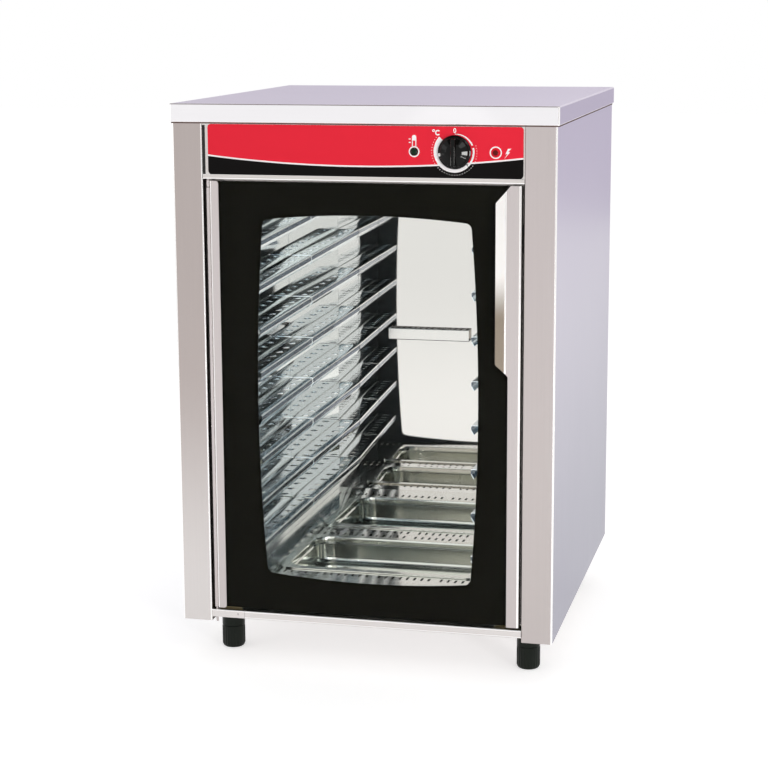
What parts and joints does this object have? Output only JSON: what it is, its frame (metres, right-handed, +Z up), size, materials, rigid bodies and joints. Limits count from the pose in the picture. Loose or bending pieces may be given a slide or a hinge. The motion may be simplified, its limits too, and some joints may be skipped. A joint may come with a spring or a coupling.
{
  "type": "proofing cabinet",
  "caption": "Glass-door proofing cabinet in stainless steel on screw feet, with perforated tray rails, drop-in water pans and a control panel above the door.",
  "frame": {"origin": "middle of the standing cabinet's box, on the floor under its feet", "axes": "+X to the right seen from the door, -Y out of the door, +Z up"},
  "size_m": [0.6, 0.6754, 0.89],
  "materials": {
    "worktop_steel": "brushed",
    "panel_steel": "brushed",
    "door_steel": "satin",
    "bright_steel": "bright annealed",
    "rail_steel": "bright",
    "fascia": "printed film, red over black",
    "black_plastic": "gloss",
    "foot_plastic": "moulded",
    "green_lens": "lens",
    "red_lens": "lens",
    "glass": "toughened",
    "black_enamel": "enamel",
    "rubber": "silicone",
    "insulation": "mineral wool"
  },
  "bodies": {
    "cabinet": {"worktop": "worktop_steel", "left_side_panel": "panel_steel", "right_side_panel": "panel_steel", "back_panel": "panel_steel", "base_panel": "panel_steel", "front_bottom_rail": "door_steel", "control_panel": "door_steel", "control_fascia": "fascia", "thermostat_body": "black_plastic", "pilot_lamp_green": "green_lens", "pilot_lamp_red": "red_lens", "upper_hinge_pin": "door_steel", "lower_hinge_bracket": "door_steel", "door_magnet": "black_plastic", "front_frame": "bright_steel", "liner_left": "bright_steel", "liner_right": "bright_steel", "liner_back": "bright_steel", "liner_top": "bright_steel", "liner_base": "bright_steel", "insulation_left": "insulation", "insulation_right": "insulation", "insulation_top": "insulation", "floor_plate_front": "bright_steel", "floor_plate_rear": "bright_steel", "probe_cover": "bright_steel", "heating_element": "panel_steel", "cable_gland": "black_plastic", "foot_socket_front_left": "foot_plastic", "foot_socket_front_right": "foot_plastic", "foot_socket_rear_left": "foot_plastic", "foot_socket_rear_right": "foot_plastic", "rail_left_1": "rail_steel", "rail_left_2": "rail_steel", "rail_left_3": "rail_steel", "rail_left_4": "rail_steel", "rail_left_5": "rail_steel", "rail_left_6": "rail_steel", "rail_left_7": "rail_steel", "rail_left_8": "rail_steel", "rail_right_1": "rail_steel", "rail_right_2": "rail_steel", "rail_right_3": "rail_steel", "rail_right_4": "rail_steel", "rail_right_5": "rail_steel", "rail_right_6": "rail_steel", "rail_right_7": "rail_steel", "rail_right_8": "rail_steel"},
    "door": {"door_glass": "glass", "hinge_stile": "door_steel", "handle_stile": "door_steel", "door_inner_frame": "black_enamel", "door_gasket": "rubber"},
    "knob": {"thermostat_knob": "black_plastic"},
    "pan_front": {"pan_front": "bright_steel"},
    "pan_rear": {"pan_rear": "bright_steel"},
    "foot_front_left": {"foot_front_left": "foot_plastic"},
    "foot_front_right": {"foot_front_right": "foot_plastic"},
    "foot_rear_left": {"foot_rear_left": "foot_plastic"},
    "foot_rear_right": {"foot_rear_right": "foot_plastic"}
  },
  "joints": [
    {"name": "door_hinge", "type": "hinge", "parent": "cabinet", "child": "door", "pos_m": [-0.2417, -0.31495, 0.43], "axis": [0, 0, -1], "range_deg": [0, 100]},
    {"name": "knob_turn", "type": "hinge", "parent": "cabinet", "child": "knob", "pos_m": [0.144, -0.32, 0.8217], "axis": [0, 1, 0], "range_deg": [0, 300]},
    {"name": "pan_front_lift", "type": "slide", "parent": "cabinet", "child": "pan_front", "axis": [0, 0, 1], "range_m": [0, 0.4]},
    {"name": "pan_rear_lift", "type": "slide", "parent": "cabinet", "child": "pan_rear", "axis": [0, 0, 1], "range_m": [0, 0.4]},
    {"name": "foot_front_left_screw", "type": "slide", "parent": "cabinet", "child": "foot_front_left", "axis": [0, 0, -1], "range_m": [0, 0.02]},
    {"name": "foot_front_right_screw", "type": "slide", "parent": "cabinet", "child": "foot_front_right", "axis": [0, 0, -1], "range_m": [0, 0.02]},
    {"name": "foot_rear_left_screw", "type": "slide", "parent": "cabinet", "child": "foot_rear_left", "axis": [0, 0, -1], "range_m": [0, 0.02]},
    {"name": "foot_rear_right_screw", "type": "slide", "parent": "cabinet", "child": "foot_rear_right", "axis": [0, 0, -1], "range_m": [0, 0.02]}
  ]
}
